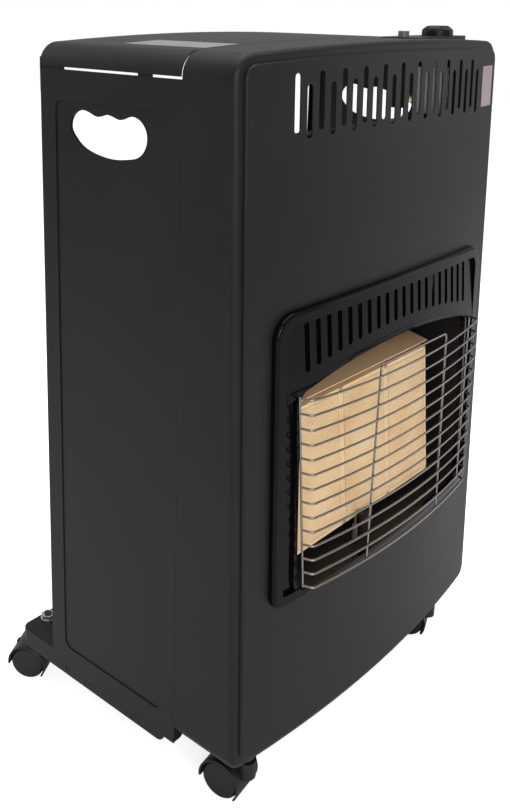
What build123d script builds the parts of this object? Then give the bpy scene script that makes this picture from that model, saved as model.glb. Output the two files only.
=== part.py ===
"""Portable gas cabinet heater with three ceramic plaques, on four twin-wheel casters.

Millimetres, +Z up. The front faces -Y and the open back, where the gas bottle
stands, faces +Y. The origin of the written pieces is on the floor under the middle
of the heater's bounding box. Heights in this file are measured from a datum 5 mm
below the floor, and every piece is lowered by that much when it is written.
"""

import os
from math import cos, hypot, radians, sin, sqrt

from build123d import *

os.makedirs("parts", exist_ok=True)

# ---------------------------------------------------------------- driving dimensions
DATUM = 5.0  # the floor lies this far above the plane that heights are measured from
WIDTH = 420.0  # cabinet, side to side
HALF = WIDTH / 2
SHEET = 1.0  # cabinet sheet steel
SEAM_Y = -74.7  # plane where the front casing meets the side panels
REAR_Y = SEAM_Y + 170.0  # rear edge of side panels and top cover
TRAY_REAR_Y = SEAM_Y + 222.0
TRAY_STEP_Y = SEAM_Y + 13.0  # the tray narrows in front of this plane
TRAY_FRONT_Y = SEAM_Y - 64.0
TRAY_BOTTOM_Z = 50.3
PANEL_BOTTOM_Z = 59.0
TRAY_TOP_Z = 72.0
TRAY_FRONT_RIM = 9.0  # the front part of the tray is only this high
PANEL_TOP_Z = 658.0
COVER_EDGE_Z = 660.0  # lower edge of the top cover's sides
CROWN_Z = 685.0  # top of the arched cover
ARCH_R = 3600.0  # radius of that arch, seen from the front
TOP_CORNER_R = 20.0
CASING_BOTTOM_Z = 68.5
CASING_BOTTOM_R = 12.0

# Front face: bowed in plan and leaning back a little towards the top
BOW_R = 1350.0
CORNER_DEPTH = 59.4  # seam to front corner, half way up
LEAN_Z = 403.0  # height at which that depth is met
LEAN = 0.0272  # mm back per mm up
FIELD_PROUD = 3.0  # raised middle of the pressed front
FIELD_INSET = 8.0
FIELD_CORNER_R = 12.0

# Convection slots near the top of the front
SLOT_COUNT = 22
SLOT_PITCH = 14.15
SLOT_WIDTH = 6.5
UPPER_SLOT = (620.5, 667.0)
LOWER_SLOT = (615.5, 657.5)
SLOT_ARCH_R = 3500.0

# Enamelled burner frame
FRAME_HALF = 173.0
FRAME_BOTTOM_Z = 213.0
FRAME_TOP_Z = 478.5
FRAME_CORNER_R = 22.0
FRAME_BEAD = 11.0
OPENING_HALF = 144.0
OPENING_BOTTOM_Z = 220.0
OPENING_TOP_Z = 422.0
OPENING_ARCH_R = 562.0
OPENING_CORNER_R = 13.0
FRAME_SLOT_COUNT = 20
FRAME_SLOT_PITCH = 14.25
FRAME_SLOT_WIDTH = 6.0

# Ceramic plaques and burners
PLAQUE_W = 78.0
PLAQUE_H = 136.0
PLAQUE_T = 13.0
PLAQUE_GAP = 0.6
PLAQUE_TILT = 5.06  # degrees, top towards the rear
PLAQUE_FACE_Y = SEAM_Y - 59.5  # front face at its lower edge
PLAQUE_BOTTOM_Z = 235.0

# Wire guard
WIRE_R = 1.0
WIRE_COUNT = 14
WIRE_PITCH = 13.446
GUARD_BOTTOM_Z = 227.5
GUARD_Z = 310.0  # height at which the next three values are met
GUARD_HALF = 140.8  # half width at the bends
GUARD_BEND_Y = SEAM_Y - 91.2
GUARD_SAG = 12.8  # the middle of a wire in front of its bends
GUARD_TAPER = 0.0518  # half width gained per mm up
GUARD_LEAN = 0.0224
GUARD_SAG_GAIN = 0.016

# Controls on top
CONTROL_Y = SEAM_Y - 27.0
KNOB_X = 131.0
KNOB_R = 15.0
KNOB_H = 9.2
BUTTON_X = 66.5
BUTTON_R = 5.2
BEZEL_TOP_Z = 685.5

# Casters
WHEEL_R = 18.5
WHEEL_W = 12.5
WHEEL_GAP = 9.0  # between a caster's two wheels
CASTER_OFFSET = 19.0  # swivel axis to wheel axis
AXLE_R = 3.0
STEM_R = 4.0
RUNNING = 0.05  # radial clearance of shafts in bores
CASTER_X = {"front": 166.0, "rear": 182.0}
CASTER_Y = {"front": SEAM_Y - 50.3, "rear": SEAM_Y + 211.0}
SWIVEL = {"front_left": 8.3, "front_right": 20.0, "rear_left": 29.0, "rear_right": -29.0}

# Handle holes
HANDLE_Y = SEAM_Y + 85.0
HANDLE_Z = 606.0


# ------------------------------------------------------------------------- helpers
def keep(builder, name):
    """Lowers a finished piece to the floor, labels it and writes it under that name."""
    piece = builder.part.moved(Location((0, 0, -DATUM)))
    piece.label = name
    export_step(piece, f"parts/{name}.step")


def arch_z(x, drop=0.0):
    """Height of the arched top at x."""
    radius = ARCH_R - drop
    return CROWN_Z - ARCH_R + sqrt(radius**2 - x**2)


def corner_depth(z):
    """Depth of the front corners, measured from the seam, at height z."""
    return CORNER_DEPTH - LEAN * (z - LEAN_Z)


def face_y(x, z, proud=0.0):
    """y of the front face at (x, z), `proud` of the casing's border."""
    bow = sqrt((BOW_R + proud)**2 - x**2) - sqrt(BOW_R**2 - HALF**2)
    return SEAM_Y - corner_depth(z) - bow


def bowed_block(proud, back_y=SEAM_Y + 10.0, tilt=0.0, tilt_z=0.0):
    """A block whose front is the bowed, leaning face, `proud` of the casing's border.

    With a tilt it runs further out, mm per mm, below the height tilt_z.
    """
    low, high, half = 40.0, 720.0, 230.0
    lean = corner_depth(low) - corner_depth(high) + tilt * (high - low)
    runout = tilt * (tilt_z - low)
    edge_y = face_y(half, low, proud) - runout
    with BuildPart(mode=Mode.PRIVATE) as block:
        with BuildSketch(Plane.XY.offset(low)):
            with BuildLine():
                middle_y = face_y(0, low, proud) - runout
                ThreePointArc((-half, edge_y), (0, middle_y), (half, edge_y))
                Polyline((half, edge_y), (half, back_y), (-half, back_y), (-half, edge_y))
            make_face()
        extrude(amount=hypot(lean, high - low), dir=Vector(0, lean, high - low).normalized())
    return block.part


def prism(sketch, front_y, back_y):
    """Extrudes a front-view sketch, drawn on the XZ plane, between two y planes."""
    with BuildPart(mode=Mode.PRIVATE) as block:
        add(sketch.moved(Location((0, back_y, 0))))
        extrude(amount=back_y - front_y, dir=(0, -1, 0))
    return block.part


def arched_outline(inset, bottom_z, bottom_r):
    """Front-view outline with the arched top, inset all round."""
    half = HALF - inset
    corner = TOP_CORNER_R - min(inset, TOP_CORNER_R - 4)
    with BuildSketch(Plane.XZ, mode=Mode.PRIVATE) as outline:
        with BuildLine():
            low = bottom_z + inset
            high = arch_z(half, inset)
            ThreePointArc((-half, high), (0, CROWN_Z - inset), (half, high))
            Polyline((half, high), (half, low), (-half, low), (-half, high))
        make_face()
        top = outline.vertices().group_by(Axis.Y)[-1]
        fillet(top, corner)
        fillet(outline.vertices().group_by(Axis.Y)[0], max(bottom_r - inset, 2))
    return outline.sketch


def box_between(low, high):
    """An axis-aligned box from its two corners."""
    size = [b - a for a, b in zip(low, high)]
    middle = [(a + b) / 2 for a, b in zip(low, high)]
    return Pos(*middle) * Box(*size, mode=Mode.PRIVATE)


# ------------------------------------------------------------------- front casing
def field_outline(inset):
    """Outline of the raised middle of the front."""
    half = HALF - FIELD_INSET - inset
    low = CASING_BOTTOM_Z + FIELD_INSET + inset
    high = arch_z(half) - FIELD_INSET - inset
    with BuildSketch(Plane.XZ, mode=Mode.PRIVATE) as outline:
        with BuildLine():
            ThreePointArc((-half, high), (0, CROWN_Z - FIELD_INSET - inset), (half, high))
            Polyline((half, high), (half, low), (-half, low), (-half, high))
        make_face()
        fillet(outline.vertices(), FIELD_CORNER_R - inset)
    return outline.sketch


def opening_outline(grow):
    """Burner opening: square at the bottom, arched at the top."""
    half = OPENING_HALF + grow
    low = OPENING_BOTTOM_Z - grow
    radius = OPENING_ARCH_R + grow
    shoulder = OPENING_TOP_Z - OPENING_ARCH_R + sqrt(radius**2 - half**2)
    with BuildSketch(Plane.XZ, mode=Mode.PRIVATE) as outline:
        with BuildLine():
            ThreePointArc((-half, shoulder), (0, OPENING_TOP_Z + grow), (half, shoulder))
            Polyline((half, shoulder), (half, low), (-half, low), (-half, shoulder))
        make_face()
        fillet(outline.vertices(), max(OPENING_CORNER_R + grow, 2))
    return outline.sketch


def rounded_face(block, radius):
    """Rounds the edges of a block's front face."""
    with BuildPart(mode=Mode.PRIVATE) as rounded:
        add(block)
        fillet(rounded.faces().sort_by(Axis.Y)[0].edges(), radius)
    return rounded.part


def casing_block(outline, proud, back_y):
    """The part of the bowed block inside a front-view outline."""
    return bowed_block(proud) & prism(outline, SEAM_Y - 140, back_y)


def slot_sketch(spans, pitch, count, width, arch_r):
    """Round-ended upright slots in a row, from the spans in turn, following an arch."""
    with BuildSketch(Plane.XZ, mode=Mode.PRIVATE) as slots:
        for i in range(count):
            low, high = spans(i)
            x = pitch * (i - (count - 1) / 2)
            sag = x**2 / (2 * arch_r)
            with Locations((x, (low + high) / 2 - sag)):
                SlotOverall(high - low, width, rotation=90)
    return slots.sketch


skin = rounded_face(
    casing_block(arched_outline(0, CASING_BOTTOM_Z, CASING_BOTTOM_R), 0, SEAM_Y), 6.0
)
field = rounded_face(casing_block(field_outline(0), FIELD_PROUD, SEAM_Y - 40), 2.4)
hollow = rounded_face(
    casing_block(arched_outline(SHEET, CASING_BOTTOM_Z, CASING_BOTTOM_R), -SHEET, SEAM_Y + 10), 5.0
)
field_hollow = rounded_face(
    casing_block(field_outline(3 * SHEET), FIELD_PROUD - SHEET, SEAM_Y - 40), 1.5
)
top_slots = slot_sketch(
    lambda i: UPPER_SLOT if i % 2 == 0 else LOWER_SLOT,
    SLOT_PITCH, SLOT_COUNT, SLOT_WIDTH, SLOT_ARCH_R,
)
with BuildPart() as front_casing:
    add(skin)
    add(field)
    add(hollow, mode=Mode.SUBTRACT)
    add(field_hollow, mode=Mode.SUBTRACT)
    # inward flanges that meet the side panels' front flanges
    for side in (-1, 1):
        with Locations((side * (HALF - SHEET - 6), SEAM_Y - SHEET / 2, 370)):
            Box(12.5, SHEET, 560)
    add(prism(top_slots, SEAM_Y - 140, SEAM_Y - 20), mode=Mode.SUBTRACT)
    with BuildSketch(Plane.XZ.offset(140 - SEAM_Y)):
        window_low, window_high = OPENING_BOTTOM_Z - 3, FRAME_TOP_Z - 10
        with Locations((0, (window_low + window_high) / 2)):
            Rectangle(2 * FRAME_HALF - 20, window_high - window_low)
    extrude(amount=-120, mode=Mode.SUBTRACT)
    for x, radius in ((KNOB_X, 8.0), (BUTTON_X, 6.6)):
        with Locations((x, CONTROL_Y, CROWN_Z)):
            Cylinder(radius, 30, mode=Mode.SUBTRACT)
    for side in (-1, 1):  # clear of the front casters' nuts
        with Locations((side * CASTER_X["front"], CASTER_Y["front"], CASING_BOTTOM_Z)):
            Cylinder(10, 10, mode=Mode.SUBTRACT)
keep(front_casing, "front_casing")


# ------------------------------------------------------------ top cover and side panels
COVER_FRONT_Y = SEAM_Y + 1.5  # an open joint is left beside the front casing
COVER_LIP = 14.0
cover_outline = arched_outline(0, COVER_EDGE_Z - 60, 2)
cover_hollow = arched_outline(SHEET, COVER_EDGE_Z - 60, 2)
with BuildPart() as top_cover:
    add(prism(cover_outline, COVER_FRONT_Y, REAR_Y))
    add(prism(cover_hollow, COVER_FRONT_Y - 10, REAR_Y - SHEET), mode=Mode.SUBTRACT)
    below = box_between((-HALF - 5, COVER_FRONT_Y - 5, 590), (HALF + 5, REAR_Y + 5, COVER_EDGE_Z))
    add(below, mode=Mode.SUBTRACT)
    # the rear lip is only a strip under the arch
    window = box_between(
        (-HALF + 22, REAR_Y - 5, COVER_EDGE_Z - 1), (HALF - 22, REAR_Y + 5, CROWN_Z - COVER_LIP - 4)
    )
    add(window, mode=Mode.SUBTRACT)
keep(top_cover, "top_cover")

EMBOSS = dict(front=17.0, rear=150.0, low=84.0, high=632.0, depth=1.0, corner_r=9.0)
HANDLE_POINTS = [  # (towards the rear, up), round the finger hole from its rear end
    (46, 4), (42, 14), (32, 19), (21, 17.5), (11, 15), (1.5, 17.5), (-7, 16.5), (-16, 14.8),
    (-24, 17.5), (-30, 18.6), (-39, 16), (-46, 7), (-45, -5), (-38, -13), (-25, -17),
    (-10, -19), (5, -18.6), (20, -16), (33, -11), (42, -3.5),
]


def handle_outline(grow):
    """Finger hole with the wavy grip along its upper edge, seen from the side."""
    wide, tall = 1 + grow / 45, 1 + grow / 18
    with BuildSketch(Plane.YZ, mode=Mode.PRIVATE) as outline:
        with BuildLine():
            points = [(HANDLE_Y + y * wide, HANDLE_Z + z * tall) for y, z in HANDLE_POINTS]
            Spline(*points, periodic=True)
        make_face()
    return outline.sketch


def emboss_outline(grow):
    """Rounded rectangle of the pressed panel field, seen from the side."""
    middle = (SEAM_Y + (EMBOSS["front"] + EMBOSS["rear"]) / 2, (EMBOSS["low"] + EMBOSS["high"]) / 2)
    with BuildSketch(Plane.YZ, mode=Mode.PRIVATE) as outline:
        with Locations(middle):
            RectangleRounded(
                EMBOSS["rear"] - EMBOSS["front"] + 2 * grow,
                EMBOSS["high"] - EMBOSS["low"] + 2 * grow,
                EMBOSS["corner_r"] + grow,
            )
    return outline.sketch


def side_prism(sketch, low_x, high_x):
    """Extrudes a side-view sketch between two x planes."""
    with BuildPart(mode=Mode.PRIVATE) as block:
        add(sketch.moved(Location((low_x, 0, 0))))
        extrude(amount=high_x - low_x, dir=(1, 0, 0))
    return block.part


PANEL_FLANGE = 13.0
GAP_TABS = ((33.0, 49.0), (139.0, 168.0))  # behind the seam, they bridge the cover's gap
with BuildPart() as side_panel:  # the left one: its outer face is at -HALF
    add(box_between((-HALF, SEAM_Y, PANEL_BOTTOM_Z), (-HALF + SHEET, REAR_Y, PANEL_TOP_Z)))
    fillet(side_panel.edges().filter_by(Axis.Z).group_by(Axis.X)[0], 0.8)
    pocket_x = -HALF + EMBOSS["depth"]
    add(side_prism(emboss_outline(SHEET), -HALF + SHEET / 2, pocket_x + SHEET))
    add(side_prism(emboss_outline(0), -HALF - 1, pocket_x), mode=Mode.SUBTRACT)
    for low_y, low_z in ((SEAM_Y, PANEL_BOTTOM_Z + 1), (REAR_Y - SHEET, TRAY_TOP_Z + 6)):
        flange = box_between(
            (-HALF + SHEET, low_y, low_z), (-HALF + PANEL_FLANGE, low_y + SHEET, PANEL_TOP_Z - 2)
        )
        inner_corner = flange.edges().filter_by(Axis.Y).sort_by(Axis.Z)[:2].sort_by(Axis.X)[-1]
        add(flange.fillet(6, [inner_corner]))
    for front, rear in GAP_TABS:
        add(box_between(
            (-HALF + SHEET, SEAM_Y + front, PANEL_TOP_Z - 20), (-HALF + 1.9, SEAM_Y + rear, COVER_EDGE_Z)
        ))
    add(side_prism(handle_outline(SHEET), pocket_x, -HALF + 3.5))
    add(side_prism(handle_outline(0), -HALF - 1, -HALF + 9), mode=Mode.SUBTRACT)
keep(side_panel, "side_panel_left")
with BuildPart() as side_panel_right:
    add(side_panel.part.mirror(Plane.YZ))
keep(side_panel_right, "side_panel_right")


# ------------------------------------------------------------------------ base tray
# Behind the step its rim is deep. In front of it the casing stands on the sheet, which
# also carries the front casters. A pressed disc marks the bottle's place.
TRAY_HALF = HALF - SHEET
TRAY_FRONT_HALF = 178.0
TRAY_CORNER_R = 8.0
RIM_CORNER_R = 10.0  # lower front corner of the deep rim, seen from the side
DISC_R = 90.0
DISC_Y = SEAM_Y + 115.0
DISC_H = 1.5
DECK_Z = {"front": CASING_BOTTOM_Z, "rear": TRAY_TOP_Z}


def rear_tray(inset):
    """Plan of the deep rear part of the tray."""
    with BuildSketch(mode=Mode.PRIVATE) as plan:
        with Locations((0, (TRAY_STEP_Y + TRAY_REAR_Y) / 2)):
            Rectangle(2 * (TRAY_HALF - inset), TRAY_REAR_Y - TRAY_STEP_Y - 2 * inset)
        fillet(plan.vertices().group_by(Axis.Y)[-1], TRAY_CORNER_R - inset)
    return plan.sketch


def front_tray(inset):
    """Plan of the raised front part of the tray, run on over the step."""
    with BuildSketch(mode=Mode.PRIVATE) as plan:
        with Locations((0, (TRAY_FRONT_Y + TRAY_STEP_Y) / 2 + 3)):
            Rectangle(2 * (TRAY_FRONT_HALF - inset), TRAY_STEP_Y - TRAY_FRONT_Y + 6 - 2 * inset)
        fillet(plan.vertices().group_by(Axis.Y)[0], 14 - inset)
    return plan.sketch


def raised(sketch, low_z, high_z):
    """Extrudes a plan between two heights."""
    with BuildPart(mode=Mode.PRIVATE) as block:
        add(sketch.moved(Location((0, 0, low_z))))
        extrude(amount=high_z - low_z, dir=(0, 0, 1))
    return block.part


FRONT_RIM_Z = DECK_Z["front"] - TRAY_FRONT_RIM
with BuildPart() as base_tray:
    add(raised(rear_tray(0), TRAY_BOTTOM_Z, TRAY_TOP_Z))
    fillet(base_tray.faces().sort_by(Axis.Z)[-1].edges().sort_by(Axis.Y)[1:], 2.5)
    fillet(base_tray.faces().sort_by(Axis.Y)[0].edges().sort_by(Axis.Z)[0], RIM_CORNER_R)
    add(raised(front_tray(0), FRONT_RIM_Z, DECK_Z["front"]))
    add(raised(front_tray(SHEET), FRONT_RIM_Z - 1, DECK_Z["front"] - SHEET), mode=Mode.SUBTRACT)
    add(raised(rear_tray(SHEET), TRAY_BOTTOM_Z - 1, TRAY_TOP_Z - SHEET), mode=Mode.SUBTRACT)
    # the step's front wall stops above the rounded corners of the side rims
    add(box_between(
        (-TRAY_HALF + SHEET, TRAY_STEP_Y - 1, TRAY_BOTTOM_Z - 1),
        (TRAY_HALF - SHEET, TRAY_STEP_Y + SHEET + 1, TRAY_BOTTOM_Z + RIM_CORNER_R),
    ), mode=Mode.SUBTRACT)
    with Locations((0, DISC_Y, TRAY_TOP_Z + DISC_H / 2)):
        Cylinder(DISC_R, DISC_H)
    with Locations((0, DISC_Y, TRAY_TOP_Z - SHEET + DISC_H / 2)):
        Cylinder(DISC_R - SHEET, DISC_H, mode=Mode.SUBTRACT)
    for end in ("front", "rear"):
        for side in (-1, 1):
            with Locations((side * CASTER_X[end], CASTER_Y[end], DECK_Z[end])):
                Cylinder(STEM_R + 0.3, 10, mode=Mode.SUBTRACT)
keep(base_tray, "base_tray")


# --------------------------------------------------------------- rear corner brackets
with BuildPart() as rear_bracket:
    add(box_between((-HALF + SHEET, REAR_Y, 636), (-HALF + 20, REAR_Y + SHEET, 668)))
    fillet(rear_bracket.edges().filter_by(Axis.Y), 2)
keep(rear_bracket, "rear_bracket_left")
with BuildPart() as rear_bracket_right:
    add(rear_bracket.part.mirror(Plane.YZ))
keep(rear_bracket_right, "rear_bracket_right")


# ------------------------------------------------------------------------ heat shield
with BuildPart() as heat_shield:
    add(box_between((-205, SEAM_Y - 2, 96), (205, SEAM_Y - SHEET, 604)))
    add(box_between((-190, SEAM_Y - 16, 603), (100, SEAM_Y - SHEET, 604)))
keep(heat_shield, "heat_shield")


# ----------------------------------------------------------------------- burner frame
PLATE_PROUD = 5.0
BEAD_PROUD = 9.0
LIP_PROUD = 8.0
LIP_W = 4.0
LOUVRE_HALF = FRAME_HALF - FRAME_BEAD - 1  # slotted band, sloping outwards going down
LOUVRE_TOP_Z = FRAME_TOP_Z - FRAME_BEAD - 2
LOUVRE_TILT = 0.06
LOUVRE_SHEET = 1.5


def frame_outline(inset):
    """Outline of the burner frame, its top arched like the cabinet's."""
    half = FRAME_HALF - inset
    low = FRAME_BOTTOM_Z + inset
    high = FRAME_TOP_Z - ARCH_R + sqrt((ARCH_R - inset)**2 - half**2)
    with BuildSketch(Plane.XZ, mode=Mode.PRIVATE) as outline:
        with BuildLine():
            ThreePointArc((-half, high), (0, FRAME_TOP_Z - inset), (half, high))
            Polyline((half, high), (half, low), (-half, low), (-half, high))
        make_face()
        fillet(outline.vertices().group_by(Axis.Y)[-1], FRAME_CORNER_R - inset)
        fillet(outline.vertices().group_by(Axis.Y)[0], FRAME_BEAD + 3 - inset)
    return outline.sketch


def louvre_outline(inset):
    """The slotted band, from the opening's arch up to the frame's bead."""
    half = LOUVRE_HALF - inset
    high = LOUVRE_TOP_Z - inset
    shoulder = OPENING_TOP_Z - OPENING_ARCH_R + sqrt((OPENING_ARCH_R + inset)**2 - half**2)
    with BuildSketch(Plane.XZ, mode=Mode.PRIVATE) as outline:
        with BuildLine():
            ThreePointArc((-half, shoulder), (0, OPENING_TOP_Z + inset), (half, shoulder))
            Polyline((half, shoulder), (half, high), (-half, high), (-half, shoulder))
        make_face()
    return outline.sketch


def louvre_block(inset):
    """The slotted band as a block, drawn in by inset on every side but its back."""
    front = bowed_block(PLATE_PROUD - inset, tilt=LOUVRE_TILT, tilt_z=LOUVRE_TOP_Z)
    return front & prism(louvre_outline(inset), SEAM_Y - 140, SEAM_Y - 50)


def slot_foot(i):
    """Lower end of the frame's slot i, before the sag of the row."""
    x = FRAME_SLOT_PITCH * (i - (FRAME_SLOT_COUNT - 1) / 2)
    return 436 - 24 * (x / 171)**2


frame_slots = slot_sketch(
    lambda i: (slot_foot(i), 466.0), FRAME_SLOT_PITCH, FRAME_SLOT_COUNT, FRAME_SLOT_WIDTH, 1e9
)
with BuildPart() as burner_frame:
    add(rounded_face(casing_block(frame_outline(0), BEAD_PROUD, SEAM_Y - 30), 3.0))
    recess = prism(frame_outline(FRAME_BEAD), SEAM_Y - 140, SEAM_Y - 20) - bowed_block(PLATE_PROUD)
    add(recess, mode=Mode.SUBTRACT)
    add(casing_block(opening_outline(LIP_W), LIP_PROUD, SEAM_Y - 50))
    add(louvre_block(0))
    add(louvre_block(LOUVRE_SHEET), mode=Mode.SUBTRACT)
    add(bowed_block(FIELD_PROUD + 0.05), mode=Mode.SUBTRACT)
    add(prism(frame_slots, SEAM_Y - 140, SEAM_Y - 20), mode=Mode.SUBTRACT)
    add(prism(opening_outline(0), SEAM_Y - 140, SEAM_Y - 20), mode=Mode.SUBTRACT)
keep(burner_frame, "burner_frame")


# --------------------------------------------------------------- burners behind the frame
BOX_BACK_Y = SEAM_Y - 12.0
VENTURI_Y = SEAM_Y - 24.0
VENTURI_R = 10.0
PLAQUE_PITCH = PLAQUE_W + PLAQUE_GAP
BURNER_X = {"left": -PLAQUE_PITCH, "middle": 0.0, "right": PLAQUE_PITCH}


def plaque_point(depth, up):
    """(y, z) of a point this deep behind the tilted plaques' face and this far up it."""
    lean = radians(PLAQUE_TILT)
    return (
        PLAQUE_FACE_Y + depth * cos(lean) + up * sin(lean),
        PLAQUE_BOTTOM_Z - depth * sin(lean) + up * cos(lean),
    )


with BuildPart() as radiant_box:
    add(bowed_block(FIELD_PROUD) & prism(opening_outline(1.6), SEAM_Y - 140, BOX_BACK_Y + SHEET))
    add(prism(opening_outline(0.6), SEAM_Y - 140, BOX_BACK_Y), mode=Mode.SUBTRACT)
    for x in BURNER_X.values():
        with Locations((x, VENTURI_Y, OPENING_BOTTOM_Z)):
            Cylinder(VENTURI_R + 0.5, 12, mode=Mode.SUBTRACT)
keep(radiant_box, "radiant_box")

with BuildPart() as reflector_top:
    with BuildSketch(Plane.YZ.offset(-1.5 * PLAQUE_PITCH)):
        with BuildLine():
            Polyline(
                (SEAM_Y - 49, 376.6), (BOX_BACK_Y, 384.0), (BOX_BACK_Y, 385.0),
                (SEAM_Y - 49, 377.6), (SEAM_Y - 49, 376.6),
            )
        make_face()
    extrude(amount=3 * PLAQUE_PITCH, dir=(1, 0, 0))
keep(reflector_top, "reflector_top")

face_low, face_high = plaque_point(0, 0), plaque_point(0, PLAQUE_H)
back_low, back_high = plaque_point(PLAQUE_T, 0), plaque_point(PLAQUE_T, PLAQUE_H)
with BuildSketch(Plane.YZ) as plaque_side:
    Polygon(face_low, face_high, back_high, back_low, align=None)
with BuildSketch(Plane.YZ) as body_side:
    Polygon(
        back_low, back_high, (BOX_BACK_Y, back_high[1]), (BOX_BACK_Y, back_low[1]), align=None
    )
with BuildSketch(Plane.YZ) as chamber_side:
    add(body_side.sketch)
    offset(amount=-SHEET, mode=Mode.REPLACE)
for name, x in BURNER_X.items():
    low_x, high_x = x - PLAQUE_W / 2, x + PLAQUE_W / 2
    with BuildPart() as plaque:
        add(side_prism(plaque_side.sketch, low_x, high_x))
        chamfer(plaque.faces().sort_by(Axis.Y)[0].edges(), 0.5)
    keep(plaque, f"ceramic_plaque_{name}")

    with BuildPart() as burner_body:
        add(side_prism(body_side.sketch, low_x, high_x))
        with Locations((x, VENTURI_Y, (back_low[1] + 204) / 2)):
            Cylinder(VENTURI_R, back_low[1] - 204 + 0.5)
        chamber = side_prism(chamber_side.sketch, low_x + SHEET, high_x - SHEET)
        add(chamber, mode=Mode.SUBTRACT)
        with Locations((x, VENTURI_Y, 218)):
            Cylinder(VENTURI_R - SHEET, 40, mode=Mode.SUBTRACT)
    keep(burner_body, f"burner_body_{name}")


# --------------------------------------------------------------------------- gas train
MANIFOLD_Z = 193.0
MANIFOLD_R = 6.0
SUPPLY_X = 160.0
VALVE_LOW_Z = 610.0
VALVE_TOP_Z = 655.0
BOSS_TOP_Z = 681.2
SLEEVE_R = 5.0
SPINDLE_R = 3.0

with BuildPart() as gas_manifold:
    with BuildSketch(Plane.YZ.offset(-95)):
        with Locations((VENTURI_Y, MANIFOLD_Z)):
            Circle(MANIFOLD_R)
    extrude(amount=95 + 118, dir=(1, 0, 0))
    with BuildSketch(Plane.YZ.offset(-93)):
        with Locations((VENTURI_Y, MANIFOLD_Z)):
            Circle(MANIFOLD_R - 1.2)
    extrude(amount=93 + 120, dir=(1, 0, 0), mode=Mode.SUBTRACT)
keep(gas_manifold, "gas_manifold")

with BuildPart() as injectors:
    for x in BURNER_X.values():
        with Locations((x, VENTURI_Y, 202)):
            Cylinder(4, 10)
        with Locations((x, VENTURI_Y, 208)):
            Cone(3, 1.5, 4)
        with BuildSketch(Plane.XY.offset(199.5)):
            with Locations((x, VENTURI_Y)):
                RegularPolygon(5, 6)
        extrude(amount=3)
    for x in BURNER_X.values():
        with Locations((x, VENTURI_Y, MANIFOLD_Z)):
            Cylinder(MANIFOLD_R + 0.02, 30, rotation=(0, 90, 0), mode=Mode.SUBTRACT)
keep(injectors, "injectors")

with BuildPart() as supply_pipe:
    with BuildLine() as pipe_path:
        FilletPolyline(
            (KNOB_X, CONTROL_Y, VALVE_LOW_Z), (KNOB_X, CONTROL_Y, 575),
            (SUPPLY_X, CONTROL_Y, 540), (SUPPLY_X, CONTROL_Y, MANIFOLD_Z),
            (118, CONTROL_Y, MANIFOLD_Z), radius=12,
        )
    with BuildSketch(Plane(origin=(KNOB_X, CONTROL_Y, VALVE_LOW_Z), z_dir=(0, 0, -1))):
        Circle(4)
    sweep(path=pipe_path.line)
keep(supply_pipe, "supply_pipe")

with BuildPart() as gas_valve:
    with Locations((KNOB_X, CONTROL_Y, (VALVE_LOW_Z + VALVE_TOP_Z) / 2)):
        Box(30, 28, VALVE_TOP_Z - VALVE_LOW_Z)
    fillet(gas_valve.edges().filter_by(Axis.Z), 4)
    with Locations((KNOB_X, CONTROL_Y, (VALVE_TOP_Z + BOSS_TOP_Z) / 2)):
        Cylinder(9, BOSS_TOP_Z - VALVE_TOP_Z)
    with Locations((KNOB_X, CONTROL_Y, (648 + BOSS_TOP_Z) / 2)):
        Cylinder(SLEEVE_R + RUNNING, BOSS_TOP_Z - 648, mode=Mode.SUBTRACT)
keep(gas_valve, "gas_valve")

INLET_Z = 624.0
INLET_LOW_Y = CONTROL_Y + 14
INLET_TIP_Y = INLET_LOW_Y + 34
with BuildPart() as gas_inlet:
    with BuildSketch(Plane.XY) as inlet_half:  # turned about the x axis later
        with BuildLine():
            Polyline(
                (0, 0), (7, 0), (7, 9), (4, 9), (4, 12), (4.6, 12), (4, 16), (4.6, 16), (4, 20),
                (4, 34), (0, 34), (0, 0),
            )
        make_face()
    revolve(axis=Axis.Y)
    with Locations((0, 22, 0)):
        Cylinder(2.4, 26, rotation=(90, 0, 0), mode=Mode.SUBTRACT)
gas_inlet.part = gas_inlet.part.moved(Location((KNOB_X, INLET_LOW_Y, INLET_Z)))
keep(gas_inlet, "gas_inlet")


# ---------------------------------------------------- pilot, thermocouple, spark electrode
FLOOR_Z = OPENING_BOTTOM_Z - 0.6  # inside face of the radiant box's floor
PILOT_Y = SEAM_Y - 68.0
with BuildPart() as pilot_burner:
    add(box_between((-40, PILOT_Y - 7, FLOOR_Z), (4, PILOT_Y + 7, FLOOR_Z + 1)))
    with Locations((-20, PILOT_Y, FLOOR_Z + 11)):
        Cylinder(4, 20)
    with Locations((-20, PILOT_Y, FLOOR_Z + 21)):
        Cylinder(5.5, 4)
    with Locations((-20, PILOT_Y + 4, FLOOR_Z + 21)):
        Box(5, 6, 2, mode=Mode.SUBTRACT)
keep(pilot_burner, "pilot_burner")

with BuildPart() as thermocouple:
    with Locations((-6, PILOT_Y, FLOOR_Z + 5)):
        Cylinder(3, 8)
    with Locations((-6, PILOT_Y, FLOOR_Z + 18)):
        Cylinder(1.6, 18)
    fillet(thermocouple.edges().group_by(Axis.Z)[-1], 1)
keep(thermocouple, "thermocouple")

with BuildPart() as spark_electrode:
    with Locations((-33, PILOT_Y, FLOOR_Z + 8)):
        Cylinder(2.6, 14)
    with Locations((-33, PILOT_Y, FLOOR_Z + 20)):
        Cylinder(0.8, 10)
keep(spark_electrode, "spark_electrode")


# ------------------------------------------------------------------------- wire guard
POST_OUT = 2.8  # the upright wires at the sides stand this far outside the bends
POST_PROUD = 10.5


def guard_half(z):
    """Half width of the guard at its bends."""
    return GUARD_HALF + GUARD_TAPER * (z - GUARD_Z)


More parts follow.
